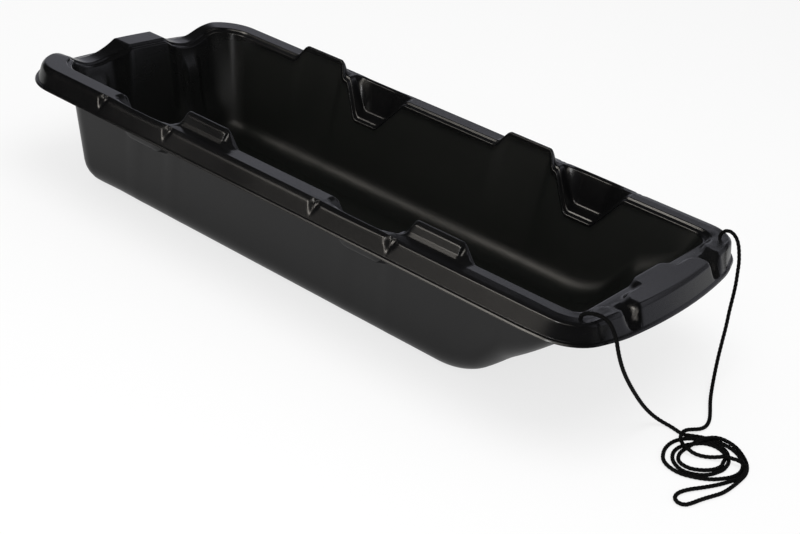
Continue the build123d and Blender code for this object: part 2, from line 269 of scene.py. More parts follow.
def coilPoints():
    angles, reaches, heights = (np.array(column, dtype=float) for column in zip(*coil["turns"]))
    steps = round((angles[0] - angles[-1]) / 360 * coil["pointsPerTurn"])
    points = []
    for angle in np.linspace(angles[0], angles[-1], steps + 1):
        reach = np.interp(-angle, -angles, reaches)
        height = np.interp(-angle, -angles, heights)
        points.append((coil["centre"][0] + reach * math.cos(math.radians(angle)),
                       coil["centre"][1] + reach * math.sin(math.radians(angle)), height))
    return points


def ropeLine():
    route = legRight + coilPoints() + longLoop + middleStrand + legLeft[::-1]
    curve = bpy.data.curves.new("rope_route", "CURVE")
    curve.dimensions = "3D"
    curve.resolution_u = ropeSize["stretchSteps"]
    spline = curve.splines.new("NURBS")
    spline.points.add(len(route) - 1)
    for point, place in zip(spline.points, route):
        point.co = (*(value * mm for value in place), 1)
    spline.order_u = 3
    spline.use_endpoint_u = True
    holder = bpy.data.objects.new("rope_route", curve)
    mesh = bpy.data.meshes.new_from_object(holder)
    line = np.array([vertex.co for vertex in mesh.vertices])
    bpy.data.objects.remove(holder)
    bpy.data.curves.remove(curve)
    bpy.data.meshes.remove(mesh)
    return line / mm


def evenSteps(line, step):
    reach = np.concatenate(([0], np.cumsum(np.linalg.norm(np.diff(line, axis=0), axis=1))))
    wanted = np.linspace(0, reach[-1], round(reach[-1] / step) + 1)
    return np.stack([np.interp(wanted, reach, line[:, k]) for k in range(3)], axis=1), wanted


def carriedFrame(line):
    along = np.gradient(line, axis=0)
    along /= np.linalg.norm(along, axis=1)[:, None]
    side = np.zeros_like(line)
    side[0] = (0, 1, 0)
    for index in range(1, len(line)):
        moved = side[index - 1] - along[index] * side[index - 1].dot(along[index])
        side[index] = moved / np.linalg.norm(moved)
    return side, np.cross(along, side)


def ringFaces(rings, sides):
    faces = []
    for ring in range(rings - 1):
        for side in range(sides):
            following = (side + 1) % sides
            faces.append((ring * sides + side, ring * sides + following,
                          (ring + 1) * sides + following, (ring + 1) * sides + side))
    faces.append(tuple(range(sides))[::-1])
    faces.append(tuple((rings - 1) * sides + side for side in range(sides)))
    return faces


def makeRope(size):
    centres, reach = evenSteps(ropeLine(), size["ringStep"])
    side, up = carriedFrame(centres)
    sides = size["sides"]
    around = np.linspace(0, 2 * np.pi, sides, endpoint=False)
    twist = around[None, :] + 2 * np.pi * reach[:, None] / size["lay"]
    strand = np.abs(np.cos(size["strands"] / 2 * twist))
    radius = size["diameter"] / 2 * (size["fullness"] - size["strandDepth"] * (1 - strand))
    ring = np.cos(around)[None, :, None] * side[:, None, :] + np.sin(around)[None, :, None] * up[:, None, :]
    points = centres[:, None, :] + radius[..., None] * ring
    rope = meshPiece("tow_rope", points.reshape(-1, 3), ringFaces(len(centres), sides), fibre)
    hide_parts("rope_coil", "rope_leg_right", "rope_leg_left", "rope_loop")
    return rope, centres, reach[-1]


rope, ropeCentres, ropeLength = makeRope(ropeSize)
print("rope made, length", round(ropeLength), "mm")


# hull and rim: one thin sheet, drawn as sections from the middle of the floor to the lip and back
hull = {
    "rimTop": 260.0, "sheet": 5.0,
    "mouthHalf": 267.0, "mouthBow": 673.0, "mouthStern": -680.0,
    "rimHalf": 325.0, "bowFront": 740.0, "sternBack": -748.0,
    "bowPlanRadius": 1550.0, "sternPlanRadius": 1900.0,
    "bowRimCorner": 70.0, "sternRimCorner": 92.0,
    "bowCorner": 80.0, "bowMouthCorner": 34.0, "sternCorner": 57.0,
    "sideDraft": 4.0, "bowDraft": 10.0, "sternDraft": 14.0,
    "rampAngle": 43.0, "rampFoot": 461.1, "rampRadius": 175.0,
    "chineRadius": 55.0, "bowChineRadius": 115.0, "chineOpens": (480, 600),
    "sternPole": -520.0, "bowPole": 545.0, "sternBlend": 220, "bowBlend": 160,
    "bowStep": 3.4, "sternStep": 5.5, "cornerSteps": 26, "arcSteps": 40, "edgeSteps": 30,
    "softness": 5, "softSteps": 9, "footPasses": 20, "leastRounding": 0.4, "roundingShare": 0.47,
    "weld": 0.00002,
}
# finer stations where tabs, pockets and scoops stand: distance from the middle, from and to, and step
sideSteps = [
    (138, 172, 2.0), (424, 456, 2.0), (88, 136, 3.0), (263, 324, 3.0), (455, 503, 3.0), (80, 505, 5.0),
]
plainStep = 12.0
# rows of points along a section: at each corner, and between the corners
rowPlan = {
    "topCorners": [1, 8, 6, 4, 4, 5, 5, 6, 4, 5, 3, 3, 1], "topFills": [3, 9, 3, 2, 3, 4, 2, 0, 5, 0, 0, 0],
    "lowCorners": [1, 3, 3, 4, 5, 7, 1], "lowFills": [1, 0, 1, 1, 3, 2],
}
# tabs, pockets and scoops along the right side; the left side is the same turned half way round
tabs = {
    "rows": [(-290, -276, -164, -138), (302, 316, 428, 453)], "rise": 32.0, "leftShift": -4,
    "groove": 5.0, "groovePlaces": (4, 14), "grooveHalf": 3, "grooveEdge": 4,
}
pockets = {"rows": [(-466, -410, -341, -298), (125, 187, 252, 292)], "drop": 81.0}
scoops = {
    "places": [-479, -287, 112, 300], "half": 20, "depth": 9, "foot": 230, "height": 30, "flatShare": 0.35,
    "rib": 0.35, "ribHalf": 0.16, "ribEdge": 0.14,
}
# the rim's shoulder, which grows squarer towards the bow
shoulder = {"run": (0, 330), "narrowing": 6, "edgeDrop": 1.8, "outerLift": 4.5, "outerDrop": 8}
# skirt: lean below its top edge, and the rows of its foot and lip, each with reach, height and radius
skirt = {
    "lean": 12, "leanTop": 252, "leanHeight": 29, "bowLean": 3.5, "bowTuck": 7, "sternTuck": 6,
    "lipRows": [(12, 223, 2), (16.4, 222.6, 1), (19, 218, 0.8), (8.5, 217, 1)], "lipIn": 8, "foot": 217,
}
# bow deck: each pad's start, half width or inner side, and radius; and the hand notches in the front edge
deck = {
    "innerPad": (658, 74, 42), "outerPad": (690, 150, 36), "cornerPad": (678, 191, 34),
    "padJoin": 8, "padEdge": 6, "padRise": 9, "padMost": 20,
    "notchPlace": 170, "notchInside": 36, "notchOutside": 26, "notchDepth": 28.0, "notchRun": (686, 740),
    "notchPower": 1.5, "fadeFoot": 223, "fadeHeight": 24, "fadeRun": 30, "cornerShare": (0.3, 0.95),
    # height and radius of its level corners and of its front edge
    "level": (-9, 4), "frontEdge": (-15, 9),
    # inner edge, which rolls in: place, height and radius of the first corners
    "roll": {0: (-9, -17, 8), 1: (6, -13.6, 12), 2: (20, -11, 8), 3: (34, -9, 4)},
}
# stern: dips in the rim, and the wall's panel with a column in the step on either side
stern = {
    "dip": 32.0, "dipPlace": 152, "dipInside": 96, "dipOutside": 106,
    "blockEdge": (54, 62), "lowestEdge": 227,
    "step": 15, "stepInside": (57, 108), "stepOutside": (205, 245), "foot": (48, 112),
    "column": 11, "columnInside": (116, 132), "columnOutside": (162, 180), "columnTop": (170, 206),
    "dipZone": 40, "reliefZone": 60, "reliefRun": 60, "reliefEnd": -600, "reliefFade": 30,
}
# the sheet's other side: places in from the mouth's or the rim's edge, plain and at a pocket, and radii
underside = {
    "skirt": 5.5, "skirtLow": 222.5, "landOut": 18, "pocketOut": 9.5, "pocketLift": 8,
    "landIn": 30, "pocketIn": 36, "pocketSide": 9, "wall": 5.5, "pocketWall": -0.5, "wallDrop": 6,
    "edgeRadius": 3, "pocketRadius": 13, "wallRadius": 4, "pocketWallRadius": 8,
}
# how much of the dullness and of the painted light the inside gets: less at the stern, full from the second
# place on
insideWearAndPaintedLight = {"atStern": 0.3, "run": (-700, -540)}


def arcPoints(centre, radius, start, end):
    angles = np.radians(np.linspace(start, end, hull["arcSteps"]))
    return np.stack([centre[0] + radius * np.cos(angles), centre[1] + radius * np.sin(angles)], axis=1)


def byShare(path, shares):
    reach = np.concatenate(([0], np.cumsum(np.linalg.norm(np.diff(path, axis=0), axis=1))))
    wanted = shares * reach[-1]
    return np.stack([np.interp(wanted, reach, path[:, k]) for k in range(2)], axis=1)


def sideStep(x):
    for low, high, step in sideSteps:
        if low < abs(x) < high:
            return step
    return plainStep


def sidePlaces():
    low = hull["mouthStern"] + hull["sternCorner"]
    high = hull["mouthBow"] - hull["bowCorner"]
    places = [low]
    while places[-1] < high - 1:
        places.append(min(high, places[-1] + sideStep(places[-1] + 1)))
    return np.array(places)


def bowEdge(y):
    return hull["bowFront"] - hull["bowPlanRadius"] + np.sqrt(hull["bowPlanRadius"] ** 2 - y ** 2)


def sternEdge(y):
    return hull["sternBack"] + hull["sternPlanRadius"] - np.sqrt(hull["sternPlanRadius"] ** 2 - y ** 2)


def rimCorner(planRadius, edge, cornerRadius):
    # centre of the corner arc that touches the side line and the long end arc from inside
    centreY = cornerRadius - hull["rimHalf"]
    planCentre = edge - planRadius
    centreX = planCentre + math.sqrt((planRadius - cornerRadius) ** 2 - centreY ** 2)
    turn = math.degrees(math.atan2(centreY, centreX - planCentre))
    return centreX, centreY, turn


def bowCornerPaths():
    half, front = hull["mouthHalf"], hull["mouthBow"]
    wide, tight = hull["bowCorner"], hull["bowMouthCorner"]
    start = front - wide
    wall = arcPoints((start, wide - half), wide, -90, 0)
    mouth = np.vstack([[(start, -half)], arcPoints((front - tight, tight - half), tight, -90, 0),
                       [(front, wide - half)]])
    x, y, turn = rimCorner(hull["bowPlanRadius"], hull["bowFront"], hull["bowRimCorner"])
    touch = y + hull["bowRimCorner"] * math.sin(math.radians(turn))
    across = np.linspace(touch, wide - half, hull["edgeSteps"])
    rim = np.vstack([[(start, -hull["rimHalf"])], arcPoints((x, y), hull["bowRimCorner"], -90, turn),
                     np.stack([bowEdge(across), across], axis=1)[1:]])
    return mouth, wall, rim


def sternCornerPaths():
    half, back, wide = hull["mouthHalf"], hull["mouthStern"], hull["sternCorner"]
    start = back + wide
    mouth = arcPoints((start, wide - half), wide, 180, 270)
    x, y, turn = rimCorner(hull["sternPlanRadius"], -hull["sternBack"], hull["sternRimCorner"])
    touch = y + hull["sternRimCorner"] * math.sin(math.radians(turn))
    across = np.linspace(wide - half, touch, hull["edgeSteps"])
    rim = np.vstack([np.stack([sternEdge(across), across], axis=1)[:-1],
                     arcPoints((-x, y), hull["sternRimCorner"], 180 - turn, 270),
                     [(start, -hull["rimHalf"])]])
    return mouth, mouth, rim


def stations():
    x = sidePlaces()
    rows = {key: [] for key in ("mouth", "wall", "rim", "spine", "hand", "slant", "bowness", "tuck")}

    def put(mouth, wall, rim, spine, hand, slant, bowness, tuck=0):
        for key, value in zip(rows, (mouth, wall, rim, spine, hand, slant, bowness, tuck)):
            rows[key].append(value)

    leans = {key: math.tan(math.radians(hull[key])) for key in ("sideDraft", "bowDraft", "sternDraft")}
    shares = np.linspace(0, 1, hull["cornerSteps"])[1:-1]
    bowPaths = [byShare(path, shares) for path in bowCornerPaths()]
    sternPaths = [byShare(path, shares) for path in sternCornerPaths()]
    turned = np.array((1, -1))

    def putSide(places, hand):
        for place in places:
            pole = min(max(place, hull["sternPole"]), hull["bowPole"])
            inside = (place, hand * hull["mouthHalf"])
            nearStern = 1 - float(ramp(0, hull["sternBlend"], place - places.min()))
            nearBow = 1 - float(ramp(0, hull["bowBlend"], places.max() - place))
            along = leans["sternDraft"] * nearStern - leans["bowDraft"] * nearBow
            slant = (along, -hand * leans["sideDraft"])
            put(inside, inside, (place, hand * hull["rimHalf"]), pole, hand, slant, 0)

    def putCorner(paths, flip, pole, along, bow, order):
        hand = 1 if flip else -1
        for index in order:
            mouth, wall, rim = (path[index] * (turned if flip else 1) for path in paths)
            put(mouth, wall, rim, pole, 0, (along, -hand * leans["sideDraft"]),
                float(ramp(*deck["cornerShare"], shares[index])) if bow else 0,
                math.sin(math.pi * shares[index]) ** 2 * skirt["bowTuck" if bow else "sternTuck"])

    def putEnd(places, x, edge, pole, along, bowness):
        for place in places:
            inward = -leans["sideDraft"] * place / np.abs(places).max()
            put((x, place), (x, place), (edge(place), place), pole, 0, (along, inward), bowness)

    forward = range(len(shares))
    bowHalf = hull["mouthHalf"] - hull["bowCorner"]
    sternHalf = hull["mouthHalf"] - hull["sternCorner"]
    bowSpread = np.linspace(-bowHalf, bowHalf, round(2 * bowHalf / hull["bowStep"]) + 1)
    sternSpread = np.linspace(sternHalf, -sternHalf, round(2 * sternHalf / hull["sternStep"]) + 1)
    putSide(x, -1)
    putCorner(bowPaths, False, hull["bowPole"], -leans["bowDraft"], True, forward)
    putEnd(bowSpread, hull["mouthBow"], bowEdge, hull["bowPole"], -leans["bowDraft"], 1)
    putCorner(bowPaths, True, hull["bowPole"], -leans["bowDraft"], True, reversed(forward))
    putSide(x[::-1], 1)
    putCorner(sternPaths, True, hull["sternPole"], leans["sternDraft"], False, reversed(forward))
    putEnd(sternSpread, hull["mouthStern"], sternEdge, hull["sternPole"], leans["sternDraft"], 0)
    putCorner(sternPaths, False, hull["sternPole"], leans["sternDraft"], False, forward)
    return {key: np.array(value, dtype=float) for key, value in rows.items()}


def outward(path):
    along = np.roll(path, -1, axis=0) - np.roll(path, 1, axis=0)
    normal = np.stack([along[:, 1], -along[:, 0]], axis=1)
    return normal / np.linalg.norm(normal, axis=1)[:, None]


def floorHeight(x, inner):
    sheet = hull["sheet"] if inner else 0.0
    angle = math.radians(hull["rampAngle"])
    slope = math.tan(angle)
    radius = hull["rampRadius"] - sheet
    foot = hull["rampFoot"] + (sheet - sheet / math.cos(angle)) / slope
    start = foot - radius * math.tan(angle / 2)
    end = start + radius * math.sin(angle)
    inBend = sheet + radius - np.sqrt(np.maximum(radius ** 2 - np.clip(x - start, 0, radius) ** 2, 0))
    endHeight = sheet + radius * (1 - math.cos(angle))
    return np.where(x < start, sheet, np.where(x < end, inBend, endHeight + (x - end) * slope))


def trapezoid(row, x):
    # rises from the first place to the second and falls from the third to the fourth, with soft corners
    total = np.zeros_like(x)
    shifts = np.linspace(-hull["softness"], hull["softness"], hull["softSteps"])
    for shift in shifts:
        moved = x + shift
        total += np.clip((moved - row[0]) / (row[1] - row[0]), 0, 1)
        total -= np.clip((moved - row[2]) / (row[3] - row[2]), 0, 1)
    return total / len(shifts)


def sideWeights(station):
    x, hand = station["mouth"][:, 0], station["hand"]
    turnedX = np.where(hand > 0, -x, x)
    onSide = (hand != 0).astype(float)
    tabX = np.where(hand > 0, -(x - tabs["leftShift"]), x)
    tab = sum(trapezoid(row, tabX) for row in tabs["rows"]) * onSide
    # two grooves down one end of each tab
    groove = sum(bump(row[2] + place, tabs["grooveHalf"], tabs["grooveEdge"], tabX)
                 for row in tabs["rows"] for place in tabs["groovePlaces"]) * onSide
    pocket = sum(trapezoid(row, turnedX) for row in pockets["rows"]) * onSide
    return tab, pocket, groove


def rounded(dx, dy, radius):
    dx, dy = dx + radius, dy + radius
    return np.hypot(np.maximum(dx, 0), np.maximum(dy, 0)) + np.minimum(np.maximum(dx, dy), 0) - radius


def softer(first, second, size):
    mix = np.clip(0.5 + 0.5 * (second - first) / size, 0, 1)
    return second * (1 - mix) + first * mix - size * mix * (1 - mix)


def deckRelief(x, y, z):
    # handle pad in the middle, a pad in each corner, and hand notches through the front edge between them
    reach = np.abs(y)
    inner, outer = (rounded(start - x, reach - half, radius)
                    for start, half, radius in (deck["innerPad"], deck["outerPad"]))
    start, inside, radius = deck["cornerPad"]
    outline = np.minimum(softer(inner, outer, deck["padJoin"]), rounded(start - x, inside - reach, radius))
    pad = 1 - ramp(-deck["padEdge"], deck["padEdge"], outline)
    room = np.clip(hull["rimTop"] - z, 0, deck["padMost"])
    room = np.where(x < bowEdge(y) - deck["padRise"], room, deck["padRise"])
    away = reach - deck["notchPlace"]
    away = away / np.where(away < 0, deck["notchInside"], deck["notchOutside"])
    hollow = (0.5 + 0.5 * np.cos(np.pi * np.clip(away, -1, 1))) ** deck["notchPower"]
    notch = deck["notchDepth"] * ramp(*deck["notchRun"], x) * hollow
    return pad * room, notch


def sternDip(y):
    # a sharp edge at the centre block, a round bottom and a long sweep up to the corner block
    reach = np.abs(y)
    away = reach - stern["dipPlace"]
    inner = 1 - np.clip(-away / stern["dipInside"], 0, 1) ** 2
    outer = 0.5 + 0.5 * np.cos(np.pi * np.clip(away / stern["dipOutside"], 0, 1))
    return stern["dip"] * np.where(away < 0, inner, outer) * ramp(*stern["blockEdge"], reach)


def keyPoints(station):
    mouth, rim = station["mouth"], station["rim"]
    across = rim - mouth
    width = np.linalg.norm(across, axis=1)
    across = across / width[:, None]
    inNormal, rimNormal = outward(station["wall"]), outward(rim)
    tab, pocket, groove = sideWeights(station)
    bow = station["bowness"]
    top = hull["rimTop"]
    tabRise, pocketDrop = tabs["rise"], pockets["drop"]
    pocketIn = -pocketDrop * np.abs(station["slant"][:, 1])
    flat = np.ones_like(width)
    square = ramp(*shoulder["run"], mouth[:, 0])
    edgeZ = -shoulder["edgeDrop"] * square
    outerZ = shoulder["outerLift"] * square - shoulder["outerDrop"]
    # columns: plain, tab and pocket places across the land, their heights, and the corner's radius in each
    table = [
        (0, 7, 0, -6, tabRise, -pocketDrop - 6, (6, 3.4, 6)),
        (9, 13.5, 9, -6, tabRise - 0.5, -pocketDrop - 6, (2.2, 3.2, 2.2)),
        (11.5, 20, 11.5, 0, tabRise - 6.5, -pocketDrop - 1, (2.4, 11, 2.6)),
        (28, 25, 32, 0, 10, 2 - pocketDrop, (2, 7, 11)),
        (width - 17 - shoulder["narrowing"] * square, 31, width - 14.5, 0, 1, -5, (2, 4, 5)),
        (width - 7, width - 7, width - 9, edgeZ, edgeZ, 0, (6, 6, 5)),
        (width, width, width, outerZ, outerZ, outerZ, (24, 24, 24)),
    ]
    plainShare = 1 - tab - pocket
    keys, radii = [], []
    for index, (plain, onTab, inPocket, plainZ, tabZ, pocketZ, radius) in enumerate(table):
        out = plain * plainShare + onTab * tab + (inPocket + pocketIn * (index < 3)) * pocket
        height = plainZ * plainShare + tabZ * tab + pocketZ * pocket
        if index in (2, 3):
            out = out - tabs["groove"] * groove * tab
        radius = radius[0] * plainShare + radius[1] * tab + radius[2] * pocket
        # over the bow the deck lies lower, and its front edge is rounder
        level = deck["frontEdge"] if index == len(table) - 1 else deck["level"]
        rollOut, rollZ, rollRadius = deck["roll"].get(index, (out, *level))
        out = out * (1 - bow) + rollOut * bow
        height = height * (1 - bow) + rollZ * bow
        place = mouth + across * out[:, None]
        keys.append(np.column_stack([place, top + height]))
        radii.append(radius * (1 - bow) + rollRadius * bow)
    for out, z, radius in skirt["lipRows"]:
        reach = out - station["tuck"] + skirt["bowLean"] * bow
        keys.append(np.column_stack([rim + rimNormal * reach[:, None], z * flat]))
        radii.append(radius * flat)
    return keys, radii, inNormal, rimNormal, across, width, (tab, pocket)


def chine(station, inNormal, inner):
    wall = station["wall"] if inner else station["wall"] + inNormal * hull["sheet"]
    height = floorHeight(wall[:, 0], inner)
    # the walls lean, so their foot is found in passes
    for _ in range(hull["footPasses"]):
        place = wall + station["slant"] * (hull["rimTop"] - height)[:, None]
        height = floorHeight(place[:, 0], inner)
    return np.column_stack([place, height])


def corner(before, at, after, radius, count):
    back, on = before - at, after - at
    backLength = np.linalg.norm(back, axis=1)
    onLength = np.linalg.norm(on, axis=1)
    back, on = back / backLength[:, None], on / onLength[:, None]
    half = np.arccos(np.clip((back * on).sum(axis=1), -0.99999, 0.99999)) / 2
    # a rounding stays short of the middle of either run
    most = hull["roundingShare"] * np.minimum(backLength, onLength)
    reach = np.clip(radius / np.tan(half), hull["leastRounding"], most)
    start, end = at + back * reach[:, None], at + on * reach[:, None]
    weight = np.sin(half)[:, None]
    rows = []
    for t in np.linspace(0, 1, count):
        parts = ((1 - t) ** 2, 2 * weight * t * (1 - t), t ** 2)
        rows.append((parts[0] * start + parts[1] * at + parts[2] * end) / (parts[0] + parts[1] + parts[2]))
    return rows


def between(start, end, count):
    return [start + (end - start) * share for share in np.linspace(0, 1, count + 2)[1:-1]]


def section(keys, radii, counts, fills):
    # rows of points along the section: every corner rounded, and fill rows on the long straights
    rows = [keys[0]]
    for index in range(1, len(keys) - 1):
        bend = corner(keys[index - 1], keys[index], keys[index + 1], radii[index], counts[index])
        rows += between(rows[-1], bend[0], fills[index - 1])
        rows += bend
    rows += between(rows[-1], keys[-1], fills[-1])
    rows.append(keys[-1])
    return rows


def pushScoops(points, hand, extra):
    # V-shaped dents in the skirt's top edge, each with a rib down its middle
    x, z = points[:, 0], points[:, 2]
    depth = np.clip((z - scoops["foot"]) / scoops["height"], 0, 1)
    face = hull["rimHalf"] + skirt["lean"] * np.clip((skirt["leanTop"] - z) / skirt["leanHeight"], 0, 1)
    half = np.maximum(scoops["half"] * depth, 0.5)
    for place in scoops["places"]:
        away = x - (-place if hand > 0 else place)
        rib = scoops["rib"] * bump(0, scoops["ribHalf"], scoops["ribEdge"], away / half)
        shape = (1 - ramp(scoops["flatShare"], 1.0, np.abs(away) / half)) * (1 - rib)
        limit = face - (scoops["depth"] * depth * shape + extra)
        deep = (np.abs(away) < half) & (np.abs(points[:, 1]) > limit) & (z > scoops["foot"] - 1)
        points[:, 1] = np.where(deep, hand * limit, points[:, 1])


def sternRelief(points):
    # the stern wall steps back either side of its middle panel, with a column in each step
    reach, z = np.abs(points[:, 1]), points[:, 2]
    step = stern["step"] * ramp(*stern["stepInside"], reach) * (1 - ramp(*stern["stepOutside"], reach))
    column = stern["column"] * ramp(*stern["columnInside"], reach)
    column = column * (1 - ramp(*stern["columnOutside"], reach)) * (1 - ramp(*stern["columnTop"], z))
    return (step - column) * ramp(*stern["foot"], z)


def addRelief(station, rows, lower):
    # pads and notches of the deck, scoops, and the stern wall's panel
    sternZone = station["mouth"][:, 0] < hull["mouthStern"] + stern["reliefZone"]
    for row in rows:
        pad, notch = deckRelief(row[:, 0], row[:, 1], row[:, 2])
        fade = station["bowness"] * np.clip((row[:, 2] - deck["fadeFoot"]) / deck["fadeHeight"], 0, 1)
        fade = fade * (row[:, 0] > hull["mouthBow"] - deck["fadeRun"])
        row[:, 2] += ((0 if lower else pad) - notch) * fade
        for hand in (-1, 1):
            picked = station["hand"] == hand
            part = row[picked]
            pushScoops(part, hand, hull["sheet"] if lower else 0.0)
            row[picked] = part
        inward = np.clip((row[:, 0] - hull["sternBack"]) / stern["reliefRun"], 0, 1)
        inward = inward * ramp(0, stern["reliefFade"], stern["reliefEnd"] - row[:, 0])
        row[:, 0] -= sternRelief(row) * inward * sternZone


def buildHull():
    station = stations()
    mouth, rim = station["mouth"], station["rim"]
    keys, radii, inNormal, rimNormal, across, width, (tab, pocket) = keyPoints(station)
    flat = np.ones_like(width)
    sheet = hull["sheet"]
    dip = sternDip(rim[:, 1]) * (mouth[:, 0] < hull["mouthStern"] + stern["dipZone"])
    # the land's corners sink into the dips, and its outer edge stays over the skirt's foot
    onLand = keys[:-len(skirt["lipRows"])]
    for key in onLand:
        key[:, 2] -= dip
    onLand[-1][:, 2] = np.maximum(onLand[-1][:, 2], stern["lowestEdge"])
    flatCorners = onLand[2:-1]
    outerZ, edgeZ = flatCorners[-2][:, 2], flatCorners[-1][:, 2]

    spineX = station["spine"]
    topSpine = np.column_stack([spineX, 0 * flat, floorHeight(spineX, True)])
    lowSpine = np.column_stack([spineX, 0 * flat, floorHeight(spineX, False)])
    topChine = chine(station, inNormal, True)
    lowChine = chine(station, inNormal, False)

    # the chine opens out towards the bow
    opening = hull["bowChineRadius"] - hull["chineRadius"]
    chineRadius = hull["chineRadius"] + opening * ramp(*hull["chineOpens"], station["wall"][:, 0])
    top = section([topSpine, topChine] + keys, [0, chineRadius - sheet] + radii,
                  rowPlan["topCorners"], rowPlan["topFills"])

    # the sheet's other side, from the lip back to the middle of the bottom
    land = np.minimum.reduce([key[:, 2] for key in flatCorners])
    land = np.where(tab > 0, np.minimum(land, hull["rimTop"]), land) - sheet
    pocketLow = hull["rimTop"] - pockets["drop"] - sheet
    plain = 1 - pocket

    def under(out, height):
        return np.column_stack([mouth + across * out[:, None], height])

    def blend(onPlain, inPocket):
        return underside[onPlain] * plain + underside[inPocket] * pocket

    lipReach = skirt["lipIn"] - station["tuck"] + skirt["bowLean"] * station["bowness"]
    lipIn = np.column_stack([rim + rimNormal * lipReach[:, None], skirt["foot"] * flat])
    skirtIn = under(width - underside["skirt"], np.maximum(edgeZ - sheet, underside["skirtLow"]))
    landOut = under((width - underside["landOut"]) * plain + (width - underside["pocketOut"]) * pocket,
                    np.minimum(edgeZ, outerZ + underside["pocketLift"] * pocket) - sheet)
    landIn = under(blend("landIn", "pocketIn"),
                   land * plain + (pocketLow + underside["pocketSide"]) * pocket)
    wallOut = under(blend("wall", "pocketWall"),
                    (land - underside["wallDrop"]) * plain + (pocketLow - underside["wallDrop"]) * pocket)
    edge = underside["edgeRadius"] * flat
    landRadius, wallRadius = blend("edgeRadius", "pocketRadius"), blend("wallRadius", "pocketWallRadius")
    low = section([lipIn, skirtIn, landOut, landIn, wallOut, lowChine, lowSpine],
                  [0, edge, edge, landRadius, wallRadius, chineRadius, 0],
                  rowPlan["lowCorners"], rowPlan["lowFills"])
    addRelief(station, top, False)
    addRelief(station, low, True)
    # floor, chine and wall rows, up to the mouth
    insideRows = 1 + rowPlan["topFills"][0] + rowPlan["topCorners"][1] + rowPlan["topFills"][1]
    return top + low, insideRows


def gridFaces(rows, columns):
    faces = []
    for row in range(rows - 1):
        for column in range(columns):
            following = (column + 1) % columns
            faces.append((row * columns + column, (row + 1) * columns + column,
                          (row + 1) * columns + following, row * columns + following))
    return faces


def cleanMesh(piece, distance):
    work = bmesh.new()
    work.from_mesh(piece.data)
    bmesh.ops.remove_doubles(work, verts=work.verts, dist=distance)
    bmesh.ops.dissolve_degenerate(work, edges=work.edges, dist=distance)
    bmesh.ops.recalc_face_normals(work, faces=work.faces)
    work.to_mesh(piece.data)
    work.free()


hullNodes = [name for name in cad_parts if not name.startswith(("rope_", "knot_"))]


def makeHull():
    rows, insideRows = buildHull()
    columns = len(rows[0])
    shell = meshPiece("moulded_hull", np.vstack(rows), gridFaces(len(rows), columns), plastic)
    # the inside attribute sets the inside's dullness and its painted light, a paler colour lifting the
    # shaded tub
    inside = shell.data.attributes.new("inside", "FLOAT", "POINT")
    least = insideWearAndPaintedLight["atStern"]
    worn = least + (1 - least) * ramp(*insideWearAndPaintedLight["run"], np.vstack(rows[:insideRows])[:, 0])
    inside.data.foreach_set("value", np.concatenate((worn, np.zeros((len(rows) - insideRows) * columns))))
    cleanMesh(shell, hull["weld"])
    shell.modifiers.new("even_normals", "WEIGHTED_NORMAL")
    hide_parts(*hullNodes)
    return shell


shell = makeHull()
print("hull made:", sum(len(face.vertices) - 2 for face in shell.data.polygons), "triangles")


# stopper knots under the bow corners keep their solids
for name in ("knot_right", "knot_left"):
    knot = bpy.data.objects[name]
    knot.data.materials.clear()
    knot.data.materials.append(fibre)


# floor, light and background
lightPlan = [
    {"name": "overhead", "place": (0.6, -0.4, 3.4), "aim": (0.0, 0.0, 0.0),
     "size": 3.0, "power": 52, "inReflections": False},
    {"name": "strip", "place": (0.8, -2.2, 0.95), "aim": (-0.6, 0.2, 0.2),
     "size": 0.5, "power": 6, "inReflections": True},
]
# pale floor: its share of plain white as seen and as mirrored, and where the plastic shows it dark,
# which is ahead on the right
floorLook = {
    "half": 40, "colour": (0.9, 0.9, 0.9, 1), "rough": 0.9, "seenWhite": 0.75, "mirroredWhite": 0.65,
    "mirroredGlow": 0.4, "aheadSlant": -0.6, "aheadEdges": (1.0, 1.8), "aheadGlow": 0.05,
}


def seenRays(made):
    path = made.add("ShaderNodeLightPath")
    mirrored = made.combine(path.outputs["Is Glossy Ray"], path.outputs["Is Transmission Ray"], "MAXIMUM")
    return path.outputs["Is Camera Ray"], mirrored


def makeFloor(look):
    made = Nodes(bpy.data.materials.new("pale_floor"))
    camera, mirrored = seenRays(made)
    made.shader.inputs["Base Color"].default_value = look["colour"]
    made.shader.inputs["Roughness"].default_value = look["rough"]
    made.shader.inputs["Specular IOR Level"].default_value = 0
    # the background's white shows through, and the shadow stays on it
    white = made.add("ShaderNodeEmission")
    mix = made.add("ShaderNodeMixShader")
    place = made.add("ShaderNodeSeparateXYZ")
    made.link(made.add("ShaderNodeTexCoord").outputs["Object"], place.inputs["Vector"])
    across = made.combine(place.outputs["Y"], look["aheadSlant"], "MULTIPLY")
    ahead = made.combine(place.outputs["X"], across)
    gone = made.combine(mirrored, made.spread(ahead, *look["aheadEdges"], 0, 1), "MULTIPLY")
    share = made.combine(made.combine(camera, look["seenWhite"], "MULTIPLY"),
                         made.combine(mirrored, look["mirroredWhite"], "MULTIPLY"), "MAXIMUM")
    made.link(made.combine(share, gone, "MAXIMUM"), mix.inputs["Fac"])
    glow = made.combine(made.spread(mirrored, 0, 1, 1, look["mirroredGlow"]),
                        made.spread(gone, 0, 1, 1, look["aheadGlow"]), "MULTIPLY")
    made.link(glow, white.inputs["Strength"])
    made.link(made.shader.outputs["BSDF"], mix.inputs[1])
    made.link(white.outputs["Emission"], mix.inputs[2])
    made.link(mix.outputs["Shader"], made.tree.nodes["Material Output"].inputs["Surface"])
    mesh = bpy.data.meshes.new("floor")
    half = look["half"]
    corners = [(-half, -half, 0), (half, -half, 0), (half, half, 0), (-half, half, 0)]
    mesh.from_pydata(corners, [], [(0, 1, 2, 3)])
    mesh.materials.append(made.owner)
    floor = bpy.data.objects.new("floor", mesh)
    bpy.context.collection.objects.link(floor)


